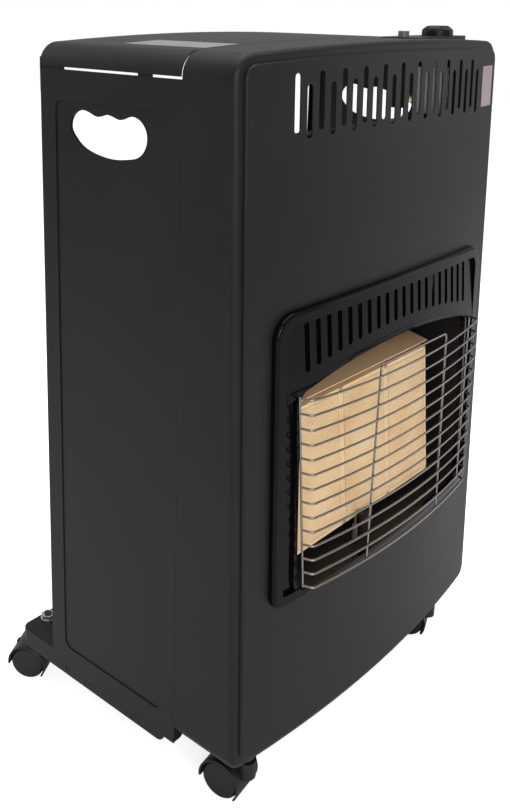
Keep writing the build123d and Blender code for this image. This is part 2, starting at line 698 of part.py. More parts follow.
def wire_point(x, z, behind=0.0):
    """A point of the guard's bowed front at x and z."""
    sag = GUARD_SAG + GUARD_SAG_GAIN * (z - GUARD_Z)
    bend_y = GUARD_BEND_Y + GUARD_LEAN * (z - GUARD_Z)
    return (x, bend_y - sag * (1 - (x / guard_half(z))**2) + behind, z)


def post_point(side, z):
    """A point of the upright wire on one side."""
    x = guard_half(z) + POST_OUT
    return (side * x, face_y(x, z, POST_PROUD), z)


def wire(path):
    """A round wire swept along a path."""
    with BuildPart(mode=Mode.PRIVATE) as swept:
        with BuildSketch(Plane(origin=path @ 0, z_dir=path % 0)):
            Circle(WIRE_R)
        sweep(path=path)
    return swept.part


guard_zs = [GUARD_BOTTOM_Z + WIRE_PITCH * i for i in range(WIRE_COUNT)]
U_TOP_Z = 412.0
with BuildPart() as wire_guard:
    for z in guard_zs:
        half = guard_half(z)
        with BuildLine(mode=Mode.PRIVATE) as path:
            FilletPolyline(
                post_point(-1, z), wire_point(-half, z),
                *[wire_point(half * i / 4, z) for i in range(-3, 4)],
                wire_point(half, z), post_point(1, z), radius=4,
            )
        add(wire(path.line))
    low_z, high_z = guard_zs[0] - 1.3, guard_zs[-1] + 1.3
    for side in (-1, 1):
        with BuildLine(mode=Mode.PRIVATE) as path:
            Line(post_point(side, low_z), post_point(side, high_z))
        add(wire(path.line))
    behind = 2 * WIRE_R - 0.3
    with BuildLine(mode=Mode.PRIVATE) as path:
        FilletPolyline(
            wire_point(-64, low_z, behind), wire_point(-58, U_TOP_Z, behind),
            wire_point(58, U_TOP_Z, behind), wire_point(64, low_z, behind), radius=5,
        )
    add(wire(path.line))
keep(wire_guard, "wire_guard")


# ------------------------------------------------------------------------ top controls
BEZEL_X = (53.0, 159.0)
BEZEL_HALF_Y = 18.0
WELL_R = KNOB_R + 0.6
WELL_Z = 683.5
KNOB_LOW_Z = 685.8
KNOB_TOP_Z = KNOB_LOW_Z + KNOB_H
with BuildPart() as control_bezel:
    add(box_between(
        (BEZEL_X[0], CONTROL_Y - BEZEL_HALF_Y, 676), (BEZEL_X[1], CONTROL_Y + BEZEL_HALF_Y, BEZEL_TOP_Z)
    ))
    fillet(control_bezel.edges().filter_by(Axis.Z), 5)
    fillet(control_bezel.faces().sort_by(Axis.Z)[-1].edges(), 0.5)
    below = prism(arched_outline(0, CASING_BOTTOM_Z, CASING_BOTTOM_R), CONTROL_Y - 40, CONTROL_Y + 40)
    add(below, mode=Mode.SUBTRACT)
    with Locations((KNOB_X, CONTROL_Y, WELL_Z + 5)):
        Cylinder(WELL_R, 10, mode=Mode.SUBTRACT)
    with Locations((KNOB_X, CONTROL_Y, WELL_Z)):
        Cylinder(SLEEVE_R + 0.4, 20, mode=Mode.SUBTRACT)
    with Locations((BUTTON_X, CONTROL_Y, WELL_Z)):
        Cylinder(BUTTON_R + RUNNING, 20, mode=Mode.SUBTRACT)
keep(control_bezel, "control_bezel")

with BuildPart() as control_knob:
    with Locations((KNOB_X, CONTROL_Y, (KNOB_LOW_Z + KNOB_TOP_Z) / 2)):
        Cylinder(KNOB_R, KNOB_TOP_Z - KNOB_LOW_Z)
    fillet(control_knob.edges().group_by(Axis.Z)[-1], 6)
    # finger scoops leave a grip bar across the middle
    for side in (-1, 1):
        with Locations((KNOB_X, CONTROL_Y + side * 13.5, KNOB_TOP_Z + 5)):
            Cylinder(8.5, 50, rotation=(0, 90, 0), mode=Mode.SUBTRACT)
    with Locations((KNOB_X, CONTROL_Y, KNOB_LOW_Z)):
        Cylinder(13, 5, mode=Mode.SUBTRACT)
    with Locations((KNOB_X, CONTROL_Y, (658 + KNOB_LOW_Z + 4) / 2)):
        Cylinder(SPINDLE_R, KNOB_LOW_Z + 4 - 658)
keep(control_knob, "control_knob")

with BuildPart() as valve_sleeve:
    with Locations((KNOB_X, CONTROL_Y, (656 + KNOB_LOW_Z + 2) / 2)):
        Cylinder(SLEEVE_R, KNOB_LOW_Z + 2 - 656)
        Cylinder(SPINDLE_R + RUNNING, 60, mode=Mode.SUBTRACT)
keep(valve_sleeve, "valve_sleeve")

BUTTON_TOP_Z = 691.0
PIEZO_TOP_Z = 682.5
BORE_Z = 648.0
BUTTON_LOW_Z = 668.0
with BuildPart() as igniter_button:
    with Locations((BUTTON_X, CONTROL_Y, (BUTTON_LOW_Z + BUTTON_TOP_Z) / 2)):
        Cylinder(BUTTON_R, BUTTON_TOP_Z - BUTTON_LOW_Z)
    fillet(igniter_button.edges().group_by(Axis.Z)[-1], 0.8)
keep(igniter_button, "igniter_button")

with BuildPart() as igniter_body:
    with Locations((BUTTON_X, CONTROL_Y, (620 + PIEZO_TOP_Z) / 2)):
        Cylinder(9, PIEZO_TOP_Z - 620)
    with Locations((BUTTON_X, CONTROL_Y, 616)):
        Cylinder(2.5, 12)
    with Locations((BUTTON_X, CONTROL_Y, (BORE_Z + PIEZO_TOP_Z) / 2)):
        Cylinder(BUTTON_R + 0.4, PIEZO_TOP_Z - BORE_Z, mode=Mode.SUBTRACT)
keep(igniter_body, "igniter_body")


def coil(x, low, high, radius, wire_r, turns):
    """An upright helical spring."""
    with BuildPart(mode=Mode.PRIVATE) as spring:
        with BuildLine(mode=Mode.PRIVATE) as path:
            Helix((high - low) / turns, high - low, radius, center=(x, CONTROL_Y, low))
        with BuildSketch(Plane(origin=path.line @ 0, z_dir=path.line % 0)):
            Circle(wire_r)
        sweep(path=path.line, is_frenet=True)
    return spring.part


with BuildPart() as knob_spring:
    add(coil(KNOB_X, WELL_Z + 0.6, KNOB_LOW_Z + 1.9, 8.0, 0.4, 2))
keep(knob_spring, "knob_spring")
with BuildPart() as igniter_spring:
    add(coil(BUTTON_X, BORE_Z + 0.5, BUTTON_LOW_Z - 0.5, 3.6, 0.4, 7))
keep(igniter_spring, "igniter_spring")


# ------------------------------------------------------------------------ blank labels
LABEL_Y = (SEAM_Y + 4, SEAM_Y + 95)
with BuildPart() as top_label:
    skin_block = prism(arched_outline(-0.3, 600, 2), LABEL_Y[0], LABEL_Y[1])
    skin_block = skin_block - prism(arched_outline(0, 600, 2), SEAM_Y, REAR_Y)
    add(skin_block & box_between((-180, LABEL_Y[0], 670), (-138, LABEL_Y[1], 690)))
keep(top_label, "top_label")

with BuildSketch(Plane.XZ) as label_face:
    with Locations((178, 636)):
        Rectangle(28, 40)
with BuildPart() as front_label:
    add(casing_block(label_face.sketch, FIELD_PROUD + 0.3, SEAM_Y - 20) - bowed_block(FIELD_PROUD))
keep(front_label, "front_label")


# ---------------------------------------------------------------------------- casters
HOOD_IN = 19.2
HOOD_OUT = 21.0
HOOD_HALF = 18.5
SKIRT_LOW = 7.0  # the hood's skirt on the stem's side ends this far above the floor
LIP_LOW = 16.0  # and its lip on the trailing side here
BOSS_R = 9.0
BOSS_TOP = 41.5
WEB = 3.0


def at_axle():
    """Location of the wheel axis, for shapes turned to lie along x."""
    return Location((0, CASTER_OFFSET, WHEEL_R), (0, 90, 0))


# one caster, its stem's axis on the origin and its feet on z = 0
with BuildPart() as hood:
    with Locations(at_axle()):
        Cylinder(HOOD_OUT, 2 * HOOD_HALF)
        Cylinder(HOOD_IN, 2 * HOOD_HALF + 2, mode=Mode.SUBTRACT)
    add(box_between((-30, -30, -10), (30, CASTER_OFFSET, SKIRT_LOW)), mode=Mode.SUBTRACT)
    add(box_between((-30, CASTER_OFFSET, -10), (30, 60, LIP_LOW)), mode=Mode.SUBTRACT)
    with Locations(at_axle()):
        Cylinder(14, 2 * WEB)
    add(box_between((-WEB, 1, 12), (WEB, 36, 34)))
    with Locations((0, 0, (24 + BOSS_TOP) / 2)):
        Cylinder(BOSS_R, BOSS_TOP - 24)
    for side in (-1, 1):
        with Locations(Location((side * (WEB + 0.9 + 10), CASTER_OFFSET, WHEEL_R), (0, 90, 0))):
            Cylinder(HOOD_IN, 20, mode=Mode.SUBTRACT)
    with Locations((0, 0, 36)):
        Cylinder(STEM_R + RUNNING, 24, mode=Mode.SUBTRACT)
    with Locations(at_axle()):
        Cylinder(AXLE_R, 20, mode=Mode.SUBTRACT)

with BuildPart() as axle:
    with Locations(at_axle()):
        Cylinder(AXLE_R, 31)
    chamfer(axle.edges().group_by(Axis.X)[0], 0.4)
    chamfer(axle.edges().group_by(Axis.X)[-1], 0.4)

WHEEL_LOW = WHEEL_GAP / 2
with BuildPart() as wheel:  # the one on the +x side
    with Locations(Location((WHEEL_LOW + WHEEL_W / 2, CASTER_OFFSET, WHEEL_R), (0, 90, 0))):
        Cylinder(WHEEL_R, WHEEL_W)
    fillet(wheel.edges().group_by(Axis.X)[-1], 4)
    fillet(wheel.edges().group_by(Axis.X)[0], 1)
    with Locations(Location((WHEEL_LOW + 5, CASTER_OFFSET, WHEEL_R), (0, 90, 0))):
        Cylinder(AXLE_R + RUNNING, 13.4, mode=Mode.SUBTRACT)

CORNERS = {
    f"{end}_{name}": (side * CASTER_X[end], CASTER_Y[end])
    for end in ("front", "rear")
    for name, side in (("left", -1), ("right", 1))
}
for corner, (x, y) in CORNERS.items():
    place = Location((x, y, DATUM), (0, 0, SWIVEL[corner]))
    for shape, name in ((hood.part, "caster_hood"), (axle.part, "caster_axle")):
        with BuildPart() as piece:
            add(shape.moved(place))
        keep(piece, f"{name}_{corner}")
    for side, turned in (("outer", x > 0), ("inner", x < 0)):
        with BuildPart() as piece:
            add((wheel.part if turned else wheel.part.mirror(Plane.YZ)).moved(place))
        keep(piece, f"caster_wheel_{corner}_{side}")

NUT_H = 4.0
WASHER_H = 1.0
STEM_LOW = DATUM + 26.0
COLLAR_LOW = DATUM + BOSS_TOP + 0.5
with BuildPart() as caster_stems:
    for corner, spot in CORNERS.items():
        deck = DECK_Z[corner.split("_")[0]]
        top = deck + WASHER_H + NUT_H + 1
        with Locations((*spot, (STEM_LOW + top) / 2)):
            Cylinder(STEM_R, top - STEM_LOW)
        collar = deck - SHEET - COLLAR_LOW
        with Locations((*spot, COLLAR_LOW + collar / 2)):
            Cylinder(7, collar)
keep(caster_stems, "caster_stems")

with BuildPart() as caster_washers:
    for corner, spot in CORNERS.items():
        with Locations((*spot, DECK_Z[corner.split("_")[0]] + WASHER_H / 2)):
            Cylinder(8, WASHER_H)
            Cylinder(STEM_R + 0.02, 5, mode=Mode.SUBTRACT)
keep(caster_washers, "caster_washers")

with BuildPart() as caster_nuts:
    for corner, spot in CORNERS.items():
        with BuildSketch(Plane.XY.offset(DECK_Z[corner.split("_")[0]] + WASHER_H)):
            with Locations(spot):
                RegularPolygon(6.5, 6, major_radius=False)
                Circle(STEM_R + 0.02, mode=Mode.SUBTRACT)
        extrude(amount=NUT_H)
keep(caster_nuts, "caster_nuts")


# ------------------------------------------------------------------------ visible screws
SCREW_R = 3.2
SCREW_H = 1.6
with BuildPart() as panel_screws:
    for side in (-1, 1):
        for y in (113.0, 121.0, 150.0):
            with Locations((side * (TRAY_HALF + SCREW_H / 2), SEAM_Y + y, 54.8)):
                Cylinder(SCREW_R, SCREW_H, rotation=(0, 90, 0))
keep(panel_screws, "panel_screws")

with BuildPart() as cover_screws:
    for side in (-1, 1):
        for z in (646.0, 661.0):
            with Locations((side * 204, REAR_Y + SHEET + SCREW_H / 2, z)):
                Cylinder(SCREW_R, SCREW_H, rotation=(90, 0, 0))
keep(cover_screws, "cover_screws")
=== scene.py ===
# %% [markdown]
# # A portable gas cabinet heater
#
# The heater is a tall sheet-steel cabinet on four casters. A gas bottle stands in its
# open back, and three ceramic plaques glow behind a wire guard at the front. The
# CAD model already holds every sheet, pipe and wheel in its real size, so this
# script gives each of them the finish of the real part and rebuilds the few pieces
# where finer detail shows: the plaques, the guard and the screws.

import math

import bmesh
import bpy
from mathutils import Matrix, Vector


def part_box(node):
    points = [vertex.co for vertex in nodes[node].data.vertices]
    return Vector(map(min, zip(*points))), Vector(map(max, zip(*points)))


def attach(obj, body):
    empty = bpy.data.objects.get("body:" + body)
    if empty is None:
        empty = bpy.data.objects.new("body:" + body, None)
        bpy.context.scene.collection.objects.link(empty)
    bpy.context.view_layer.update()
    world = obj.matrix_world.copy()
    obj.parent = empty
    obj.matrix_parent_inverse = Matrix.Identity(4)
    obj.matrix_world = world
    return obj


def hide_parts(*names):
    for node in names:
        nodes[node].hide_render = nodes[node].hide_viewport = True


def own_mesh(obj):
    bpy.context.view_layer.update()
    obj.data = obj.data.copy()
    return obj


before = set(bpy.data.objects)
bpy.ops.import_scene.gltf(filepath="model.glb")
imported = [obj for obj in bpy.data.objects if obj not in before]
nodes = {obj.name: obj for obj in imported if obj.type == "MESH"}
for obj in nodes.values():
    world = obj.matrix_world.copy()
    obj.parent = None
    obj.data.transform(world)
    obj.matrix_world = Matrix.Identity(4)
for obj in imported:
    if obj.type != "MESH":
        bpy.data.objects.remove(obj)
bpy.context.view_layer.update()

# %% [markdown]
# ## The photograph's camera
#
# The photograph is taken from close by, a little above the cabinet and from its
# front left, so the far edges shrink strongly. A camera was fitted to the corners
# of the cabinet. Only its place, direction and lens are written here, and the shift
# puts the heater where it stands in the picture.

# %% Camera
CAMERA_AT = Vector((-0.75458, -0.57566, 0.71186))
CAMERA_AZIMUTH = math.radians(-47.076)
CAMERA_ELEVATION = math.radians(14.118)
CAMERA_ROLL = math.radians(0.676)
PHOTO_W, PHOTO_H = 510, 808
FOCAL_PX = 963.016
CENTRE_PX = (175.056, 241.864)

back = Vector((
    math.sin(CAMERA_AZIMUTH) * math.cos(CAMERA_ELEVATION),
    -math.cos(CAMERA_AZIMUTH) * math.cos(CAMERA_ELEVATION),
    math.sin(CAMERA_ELEVATION),
))
level_right = Vector((math.cos(CAMERA_AZIMUTH), math.sin(CAMERA_AZIMUTH), 0))
level_up = back.cross(level_right)
right = level_right * math.cos(CAMERA_ROLL) + level_up * math.sin(CAMERA_ROLL)
up = level_up * math.cos(CAMERA_ROLL) - level_right * math.sin(CAMERA_ROLL)

camera_data = bpy.data.cameras.new("photo_camera")
camera_data.sensor_width = 36.0
camera_data.lens = FOCAL_PX / PHOTO_H * camera_data.sensor_width
camera_data.shift_x = (PHOTO_W / 2 - CENTRE_PX[0]) / PHOTO_H
camera_data.shift_y = (CENTRE_PX[1] - PHOTO_H / 2) / PHOTO_H
camera = bpy.data.objects.new("photo_camera", camera_data)
bpy.context.scene.collection.objects.link(camera)
camera.rotation_mode = "QUATERNION"
camera.location = CAMERA_AT
turn = Matrix((right, up, back)).transposed()
camera.rotation_quaternion = turn.to_quaternion()
bpy.context.scene.camera = camera
bpy.context.scene.view_settings.view_transform = "Standard"

# %% [markdown]
# ## Floor, backdrop and light
#
# The photograph is a studio shot on plain white. The world is white where a camera
# ray meets it, and only half as strong as a source of light, so the backdrop can be
# white while the dark paint keeps its depth. The floor is lifted in the same way and
# still takes the shadow. The light is soft: a wide panel overhead makes the top of
# the cabinet the brightest part, and two large panels at the sides leave long faint
# highlights on the bowed front and bright ones on the enamel.

# %% Floor and world
floor_mesh = bpy.data.meshes.new("floor")
floor_mesh.from_pydata(
    [(-6, -6, 0), (6, -6, 0), (6, 6, 0), (-6, 6, 0)], [], [(0, 1, 2, 3)]
)
floor = bpy.data.objects.new("floor", floor_mesh)
bpy.context.scene.collection.objects.link(floor)


def new_tree(name):
    """A new material and the parts of its node tree."""
    material = bpy.data.materials.new(name)
    material.use_nodes = True
    tree = material.node_tree
    shader = tree.nodes["Principled BSDF"]
    return material, tree, shader


def add_node(tree, kind, **settings):
    """A node of a kind, with its properties and inputs set by name."""
    node = tree.nodes.new(kind)
    for key, value in settings.items():
        if key in node.inputs:
            node.inputs[key].default_value = value
        else:
            setattr(node, key, value)
    return node


FLOOR_LIFT = 0.75
SKY_STRENGTH = 0.42
floor_material, tree, shader = new_tree("studio_floor")
shader.inputs["Base Color"].default_value = (0.86, 0.86, 0.86, 1)
shader.inputs["Roughness"].default_value = 0.9
shader.inputs["Emission Color"].default_value = (1, 1, 1, 1)
seen = add_node(tree, "ShaderNodeLightPath")
lift = add_node(tree, "ShaderNodeMath", operation="MULTIPLY")
lift.inputs[1].default_value = FLOOR_LIFT
tree.links.new(seen.outputs["Is Camera Ray"], lift.inputs[0])
tree.links.new(lift.outputs[0], shader.inputs["Emission Strength"])
floor_mesh.materials.append(floor_material)

world = bpy.data.worlds.new("studio")
bpy.context.scene.world = world
world.use_nodes = True
world_tree = world.node_tree
world_tree.nodes.clear()
rays = add_node(world_tree, "ShaderNodeLightPath")
soft_sky = add_node(world_tree, "ShaderNodeBackground", Color=(1, 1, 1, 1), Strength=SKY_STRENGTH)
seen_sky = add_node(world_tree, "ShaderNodeBackground", Color=(1, 1, 1, 1), Strength=1.0)
pick = add_node(world_tree, "ShaderNodeMixShader")
world_out = add_node(world_tree, "ShaderNodeOutputWorld")
world_tree.links.new(rays.outputs["Is Camera Ray"], pick.inputs["Fac"])
world_tree.links.new(soft_sky.outputs[0], pick.inputs[1])
world_tree.links.new(seen_sky.outputs[0], pick.inputs[2])
world_tree.links.new(pick.outputs[0], world_out.inputs["Surface"])


# %% Lamps
def soft_panel(name, at, towards, size, power):
    """A square area lamp that faces a point."""
    lamp = bpy.data.lights.new(name, "AREA")
    lamp.shape = "SQUARE"
    lamp.size = size
    lamp.energy = power
    panel = bpy.data.objects.new(name, lamp)
    panel.location = at
    panel.rotation_mode = "QUATERNION"
    aim = Vector(towards) - Vector(at)
    panel.rotation_quaternion = aim.to_track_quat("-Z", "Y")
    bpy.context.scene.collection.objects.link(panel)
    return panel


soft_panel("overhead", (0.0, 0.1, 2.4), (0, 0, 0.4), 2.2, 42.0)
soft_panel("front_left", (-1.9, -2.2, 1.3), (0, 0, 0.35), 1.6, 40.0)
soft_panel("front_right", (2.2, -1.6, 1.0), (0, 0, 0.3), 1.4, 6.0)
soft_panel("rear", (-0.6, 2.6, 1.4), (0, 0, 0.4), 1.6, 10.0)


# %% [markdown]
# ## Finishes
#
# Every finish is a small node tree on the standard shader. A plain colour never
# looks like metal or paint, so each one gets the detail that the real coating has:
# the faint orange peel of powder coat, the spangle of zinc, the run of heat tint.
# Patterns read Object coordinates, which are metres here, so a scale of 1000 is
# one ripple per millimetre.

# %% Helpers for finishes
def object_coords(tree):
    """The Object coordinates of the piece."""
    return add_node(tree, "ShaderNodeTexCoord").outputs["Object"]


def noise(tree, coords, scale, detail=2.0, roughness=0.5):
    """A noise texture's factor."""
    node = add_node(tree, "ShaderNodeTexNoise", Scale=scale, Detail=detail, Roughness=roughness)
    tree.links.new(coords, node.inputs["Vector"])
    return node.outputs["Fac"]


def ramp(tree, factor, stops):
    """A colour ramp from (place, colour) stops."""
    node = add_node(tree, "ShaderNodeValToRGB")
    elements = node.color_ramp.elements
    while len(elements) < len(stops):
        elements.new(0.5)
    for element, (place, colour) in zip(elements, stops):
        element.position = place
        element.color = (*colour, 1)
    tree.links.new(factor, node.inputs["Fac"])
    return node.outputs["Color"]


def rise(tree, shader, height, strength, distance):
    """Bump on the shader from a height."""
    node = add_node(tree, "ShaderNodeBump", Strength=strength, Distance=distance)
    tree.links.new(height, node.inputs["Height"])
    tree.links.new(node.outputs["Normal"], shader.inputs["Normal"])
    return node


def span(tree, factor, low, high):
    """A factor remapped to run from low to high."""
    node = add_node(tree, "ShaderNodeMapRange")
    node.inputs["To Min"].default_value = low
    node.inputs["To Max"].default_value = high
    tree.links.new(factor, node.inputs["Value"])
    return node.outputs["Result"]


def dress(material, *names):
    """Gives CAD nodes or pieces one material."""
    for name in names:
        mesh = nodes[name].data if isinstance(name, str) else name.data
        mesh.materials.clear()
        mesh.materials.append(material)


# %% [markdown]
# ### Powder coat
#
# The cabinet is sprayed with dark grey powder and baked. Baked powder has a satin
# sheen and a fine orange peel about a millimetre across. Two noises do it: a fine
# one for the bump, and a broad one that shifts the sheen a little from place to
# place, as handling and uneven baking do.

# %% Powder coat
PEEL_SCALE = 900.0
PEEL_DEPTH = 0.0002
SHEEN_SHIFT = 0.05
HANDLING_SCALE = 9.0
CLEAR_COAT_ROUGHNESS = 0.08


def coating(name, dark, light, sheen, peel, mirror=0.5, gloss_coat=0.0):
    """A sprayed or fired coating on sheet steel."""
    material, tree, shader = new_tree(name)
    coords = object_coords(tree)
    broad = noise(tree, coords, HANDLING_SCALE, 3.0)
    fine = noise(tree, coords, PEEL_SCALE, 2.0)
    colour = ramp(tree, broad, [(0.3, dark), (0.7, light)])
    tree.links.new(colour, shader.inputs["Base Color"])
    roughness = span(tree, broad, sheen - SHEEN_SHIFT, sheen + SHEEN_SHIFT)
    tree.links.new(roughness, shader.inputs["Roughness"])
    rise(tree, shader, fine, peel, PEEL_DEPTH)
    shader.inputs["Specular IOR Level"].default_value = mirror
    shader.inputs["Coat Weight"].default_value = gloss_coat
    shader.inputs["Coat Roughness"].default_value = CLEAR_COAT_ROUGHNESS
    return material


charcoal_powder = coating(
    "charcoal_powder", (0.0095, 0.0082, 0.0098), (0.0125, 0.0110, 0.0130),
    sheen=0.42, peel=0.16, mirror=0.20,
)
dress(
    charcoal_powder, "front_casing", "top_cover", "side_panel_left", "side_panel_right",
    "base_tray", "rear_bracket_left", "rear_bracket_right",
)

# %% [markdown]
# ### Black enamel
#
# The burner frame gets hot, so it is fired with glassy black enamel, which powder
# could not stand. Enamel is darker and far glossier. A clear coat over a black
# base gives the sharp highlights on its rolled edge.

# %% Black enamel
black_enamel = coating(
    "black_enamel", (0.0020, 0.0018, 0.0020), (0.0030, 0.0027, 0.0030),
    sheen=0.14, peel=0.05, mirror=0.08, gloss_coat=0.08,
)
dress(black_enamel, "burner_frame")
soot_black = coating(
    "soot_black", (0.006, 0.006, 0.006), (0.012, 0.011, 0.011), sheen=0.6, peel=0.1, mirror=0.2,
)
dress(soot_black, "radiant_box", "pilot_burner", "thermocouple")


# %% [markdown]
# ### Bare metals
#
# Hidden sheets and pipes are bare metal. Each metal differs in its colour, in how
# rough it is and in the marks that it carries, so one function makes them all:
# cells for the spangle of zinc, stretched noise for rolling marks.

# %% Bare metals
ROLLING_SCALE = 700.0
ROLLING_STRETCH = (1, 1, 0.05)


def metal(name, colour, sheen, cell_scale=0.0, mark=0.08):
    """A bare metal with spangle cells or fine rolling marks."""
    material, tree, shader = new_tree(name)
    coords = object_coords(tree)
    shader.inputs["Metallic"].default_value = 1.0
    if cell_scale:
        cells = add_node(tree, "ShaderNodeTexVoronoi", Scale=cell_scale)
        tree.links.new(coords, cells.inputs["Vector"])
        factor = cells.outputs["Color"]
    else:
        stretch = add_node(tree, "ShaderNodeMapping")
        stretch.inputs["Scale"].default_value = ROLLING_STRETCH
        tree.links.new(coords, stretch.inputs["Vector"])
        factor = noise(tree, stretch.outputs["Vector"], ROLLING_SCALE, 3.0)
    dark = tuple(c * (1 - mark) for c in colour)
    tree.links.new(ramp(tree, factor, [(0.2, dark), (0.8, colour)]), shader.inputs["Base Color"])
    tree.links.new(span(tree, factor, sheen - 0.06, sheen + 0.08), shader.inputs["Roughness"])
    return material


zinc_sheet = metal("zinc_sheet", (0.52, 0.53, 0.54), sheen=0.38, cell_scale=90.0, mark=0.25)
bright_zinc = metal("bright_zinc", (0.62, 0.61, 0.57), sheen=0.3)
raw_steel = metal("raw_steel", (0.42, 0.40, 0.38), sheen=0.35)
turned_brass = metal("turned_brass", (0.72, 0.55, 0.26), sheen=0.25)
cast_aluminium = metal("cast_aluminium", (0.58, 0.59, 0.60), sheen=0.5, cell_scale=400.0, mark=0.1)
blackened_steel = metal("blackened_steel", (0.06, 0.058, 0.06), sheen=0.35)
dress(zinc_sheet, "heat_shield")
dress(blackened_steel, "caster_stems")
dress(bright_zinc, "gas_manifold", "supply_pipe", "caster_nuts", "caster_washers")
dress(raw_steel, "burner_body_left", "burner_body_middle", "burner_body_right")
dress(turned_brass, "injectors", "gas_inlet", "valve_sleeve")
dress(cast_aluminium, "gas_valve")
CORNERS = ("front_left", "front_right", "rear_left", "rear_right")
for corner in CORNERS:
    dress(bright_zinc, f"caster_axle_{corner}")

# %% [markdown]
# ### Heat-tinted steel with painted shade
#
# The plate above the plaques sits in their hot exhaust, and steel that is heated
# in air turns straw and then bronze. The colour is also painted darker towards the
# back, as painted shade, so it follows the distance from the front edge.

# %% Heat-tinted steel with painted shade
heat_tint_and_painted_shade, tree, shader = new_tree("heat_tint_and_painted_shade")
coords = object_coords(tree)
apart = add_node(tree, "ShaderNodeSeparateXYZ")
tree.links.new(coords, apart.inputs[0])
shade_towards_back = add_node(tree, "ShaderNodeMapRange")
plate_low, plate_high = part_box("reflector_top")
shade_towards_back.inputs["From Min"].default_value = plate_low[1]
shade_towards_back.inputs["From Max"].default_value = plate_high[1]
tree.links.new(apart.outputs["Y"], shade_towards_back.inputs["Value"])
# Lighter at the front edge and darker towards the back: painted shade over the heat colour.
colour_with_painted_shade = ramp(tree, shade_towards_back.outputs["Result"], [
    (0.0, (0.86, 0.58, 0.33)), (0.5, (0.80, 0.50, 0.26)), (1.0, (0.60, 0.38, 0.22)),
])
tree.links.new(colour_with_painted_shade, shader.inputs["Base Color"])
shader.inputs["Metallic"].default_value = 0.15
tree.links.new(span(tree, noise(tree, coords, 60.0, 4.0), 0.4, 0.6), shader.inputs["Roughness"])
dress(heat_tint_and_painted_shade, "reflector_top")


# %% [markdown]
# ### Moulded plastic and ceramic
#
# The knob, the bezel and the casters are moulded plastic with a fine spark-eroded
# grain, and the spark electrode is glazed ceramic under soot. One function with a
# bump of small grain and a broad shift in sheen serves them all.

# %% Plastics
GRAIN_SCALE = 2500.0
GRAIN_DEPTH = 0.0001


def moulded(name, colour, sheen, grain, mirror=0.5):
    """Moulded plastic or fired clay with a fine grain."""
    material, tree, shader = new_tree(name)
    coords = object_coords(tree)
    broad = noise(tree, coords, 40.0, 2.0)
    dark = tuple(c * 0.88 for c in colour)
    tree.links.new(ramp(tree, broad, [(0.3, dark), (0.7, colour)]), shader.inputs["Base Color"])
    tree.links.new(span(tree, broad, sheen - 0.04, sheen + 0.06), shader.inputs["Roughness"])
    rise(tree, shader, noise(tree, coords, GRAIN_SCALE, 2.0), grain, GRAIN_DEPTH)
    shader.inputs["Specular IOR Level"].default_value = mirror
    return material


black_plastic = moulded("black_plastic", (0.005, 0.005, 0.0055), sheen=0.36, grain=0.15, mirror=0.2)
grey_plastic = moulded("grey_plastic", (0.12, 0.12, 0.122), sheen=0.34, grain=0.15)
caster_nylon = moulded("caster_nylon", (0.012, 0.012, 0.013), sheen=0.42, grain=0.2, mirror=0.3)
sooty_ceramic = moulded("sooty_ceramic", (0.09, 0.085, 0.08), sheen=0.3, grain=0.02)
dress(black_plastic, "control_bezel", "control_knob", "igniter_body")
dress(grey_plastic, "igniter_button")
dress(sooty_ceramic, "spark_electrode")
for corner in CORNERS:
    dress(caster_nylon, f"caster_hood_{corner}")
    for side in ("inner", "outer"):
        dress(caster_nylon, f"caster_wheel_{corner}_{side}")

label_foil = moulded("label_foil", (0.23, 0.225, 0.23), sheen=0.5, grain=0.05)
label_paper = moulded("label_paper", (0.36, 0.30, 0.31), sheen=0.5, grain=0.05)
dress(label_foil, "top_label")
dress(label_paper, "front_label")

# %% [markdown]
# ## Pieces made by Geometry Nodes
#
# The holes of a plaque, the wires of the guard and the heads of the screws all
# repeat by a rule, so each is a small tree with its sizes as named inputs. The
# helpers below make the tree, set its inputs by their identifiers, and keep the
# result as a plain mesh.

# %% Helpers for Geometry Nodes
def new_shape(name, sizes):
    """An empty Geometry Nodes tree with named inputs, and those inputs."""
    tree = bpy.data.node_groups.new(name, "GeometryNodeTree")
    kinds = {int: "NodeSocketInt", float: "NodeSocketFloat", tuple: "NodeSocketVector"}
    tree.interface.new_socket("Geometry", in_out="INPUT", socket_type="NodeSocketGeometry")
    for label, value in sizes.items():
        tree.interface.new_socket(label, in_out="INPUT", socket_type=kinds[type(value)])
    tree.interface.new_socket("Geometry", in_out="OUTPUT", socket_type="NodeSocketGeometry")
    return tree, tree.nodes.new("NodeGroupInput").outputs


def part_of(tree, kind, links, **settings):
    """A node of a tree with its inputs linked, or set where they are plain values."""
    node = add_node(tree, kind, **settings)
    for label, value in links.items():
        if isinstance(value, bpy.types.NodeSocket):
            tree.links.new(value, node.inputs[label])
        else:
            node.inputs[label].default_value = value
    return node


def calc(tree, operation, first, second=0.0):
    """The result of a Math node on numbers or sockets."""
    return part_of(tree, "ShaderNodeMath", {0: first, 1: second}, operation=operation).outputs[0]


def vector(tree, x=0.0, y=0.0, z=0.0):
    """A vector from numbers or sockets."""
    return part_of(tree, "ShaderNodeCombineXYZ", {0: x, 1: y, 2: z}).outputs[0]


def joined(tree, *parts):
    """Several geometries as one."""
    node = tree.nodes.new("GeometryNodeJoinGeometry")
    for part in parts:
        tree.links.new(part, node.inputs[0])
    return node.outputs[0]


def end_shape(tree, geometry, material):
    """Ends a tree with real geometry in one material."""
    real = part_of(tree, "GeometryNodeRealizeInstances", {"Geometry": geometry})
    coated = part_of(tree, "GeometryNodeSetMaterial", {"Geometry": real.outputs[0]})
    coated.inputs["Material"].default_value = material
    out = tree.nodes.new("NodeGroupOutput")
    tree.links.new(coated.outputs[0], out.inputs[0])


